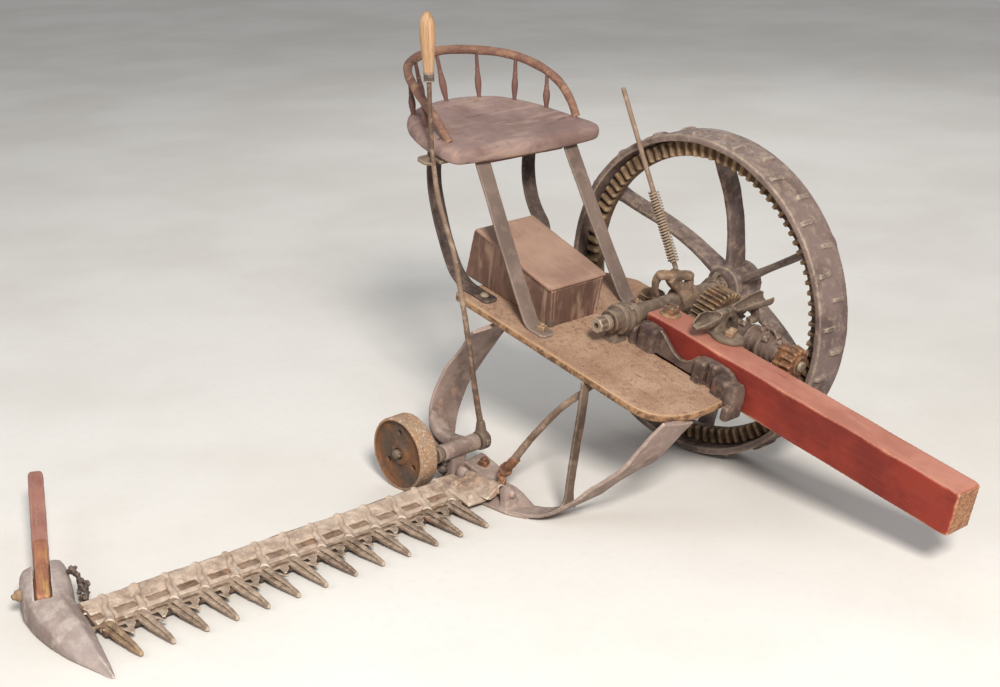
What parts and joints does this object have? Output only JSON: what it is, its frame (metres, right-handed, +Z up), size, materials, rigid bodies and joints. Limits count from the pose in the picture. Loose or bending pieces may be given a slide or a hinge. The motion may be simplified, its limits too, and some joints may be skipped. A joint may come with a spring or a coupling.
{
  "type": "old horse-drawn one-wheel hay mower",
  "caption": "Horse-drawn hay mower with one lugged iron drive wheel, railed wooden seat, toolbox, gauge wheel on a lift lever and a guarded cutter bar laid out at its side.",
  "frame": {"origin": "on the ground under the middle of the whole machine's bounding box", "axes": "+X to the driver's right, along the cutter bar; +Y forward along the tongue; +Z up"},
  "size_m": [1.9754, 1.778, 1.1561],
  "materials": {
    "red_iron": "rusted red-brown iron with a worn dull skin",
    "brown_iron": "weathered brown-grey iron, lightly pitted",
    "dark_iron": "dark brown iron",
    "orange_iron": "flaky orange rust",
    "pale_iron": "pale dusty rust, tan and pink",
    "worn_steel": "bare worn steel",
    "tongue_wood": "faded red paint over bare timber",
    "platform_wood": "dry tan timber with worn dark edges",
    "toolbox_wood": "faded maroon paint",
    "lid_wood": "faded maroon paint worn to pinkish timber",
    "seat_wood": "thin worn grey-mauve paint",
    "hoop_wood": "red-brown varnished timber, rubbed on top",
    "handle_wood": "bare turned timber",
    "stick_wood": "faded red-brown timber"
  },
  "bodies": {
    "chassis": {"axle": "worn_steel", "axle_collars": "brown_iron", "clutch_yoke": "brown_iron", "control_rod": "orange_iron", "control_spring": "orange_iron", "tongue": "tongue_wood", "platform": "platform_wood", "frame_casting": "dark_iron", "tongue_bracket": "brown_iron", "countershaft": "worn_steel", "ribbed_gear": "brown_iron", "clutch_collars": "brown_iron", "bevel_pinion": "orange_iron", "shaft_bearing": "brown_iron", "gear_guard": "brown_iron", "tongue_plate": "brown_iron", "toolbox": "toolbox_wood", "seat_board": "seat_wood", "seat_rail": "hoop_wood", "seat_spindles": "hoop_wood", "seat_battens": "hoop_wood", "seat_strap_front_right": "dark_iron", "seat_strap_front_left": "dark_iron", "seat_strap_rear_right": "dark_iron", "seat_strap_rear_left": "dark_iron", "lever_guide": "dark_iron", "inner_shoe": "brown_iron", "runner_front": "pale_iron", "runner_rear": "pale_iron", "axle_sleeve": "brown_iron", "runner_strut": "brown_iron", "brace_rod": "brown_iron"},
    "drive_wheel": {"drive_wheel": "red_iron", "drive_wheel_crown_gear": "orange_iron"},
    "toolbox_lid": {"toolbox_lid": "lid_wood"},
    "lift_lever": {"crank_axle": "brown_iron", "lever_boss": "brown_iron", "lift_lever": "dark_iron", "lever_ferrule": "worn_steel", "lever_handle": "handle_wood"},
    "gauge_wheel": {"gauge_wheel": "orange_iron"},
    "cutter_bar": {"finger_bar": "pale_iron", "bar_heel": "brown_iron", "guards": "pale_iron", "knife": "worn_steel", "divider_shoe": "brown_iron", "grass_stick": "stick_wood"}
  },
  "joints": [
    {"name": "drive_wheel_spin", "type": "hinge", "parent": "chassis", "child": "drive_wheel", "pos_m": [-0.9097, -0.03942, 0.42], "axis": [1, 0, 0], "continuous": true},
    {"name": "lift_lever_swing", "type": "hinge", "parent": "chassis", "child": "lift_lever", "pos_m": [-0.1997, -0.30542, 0.094], "axis": [-1, 0, 0], "range_deg": [0, 25]},
    {"name": "gauge_wheel_spin", "type": "hinge", "parent": "lift_lever", "child": "gauge_wheel", "pos_m": [-0.0717, -0.37942, 0.094], "axis": [1, 0, 0], "continuous": true},
    {"name": "toolbox_lid_hinge", "type": "hinge", "parent": "chassis", "child": "toolbox_lid", "pos_m": [-0.5577, -0.16071, 0.48881], "axis": [0, -0.9307, 0.3659], "range_deg": [0, 65]},
    {"name": "cutter_bar_fold", "type": "hinge", "parent": "chassis", "child": "cutter_bar", "pos_m": [-0.1517, -0.03942, 0.045], "axis": [-0.0332, -0.9995, 0], "range_deg": [0, 85]}
  ]
}
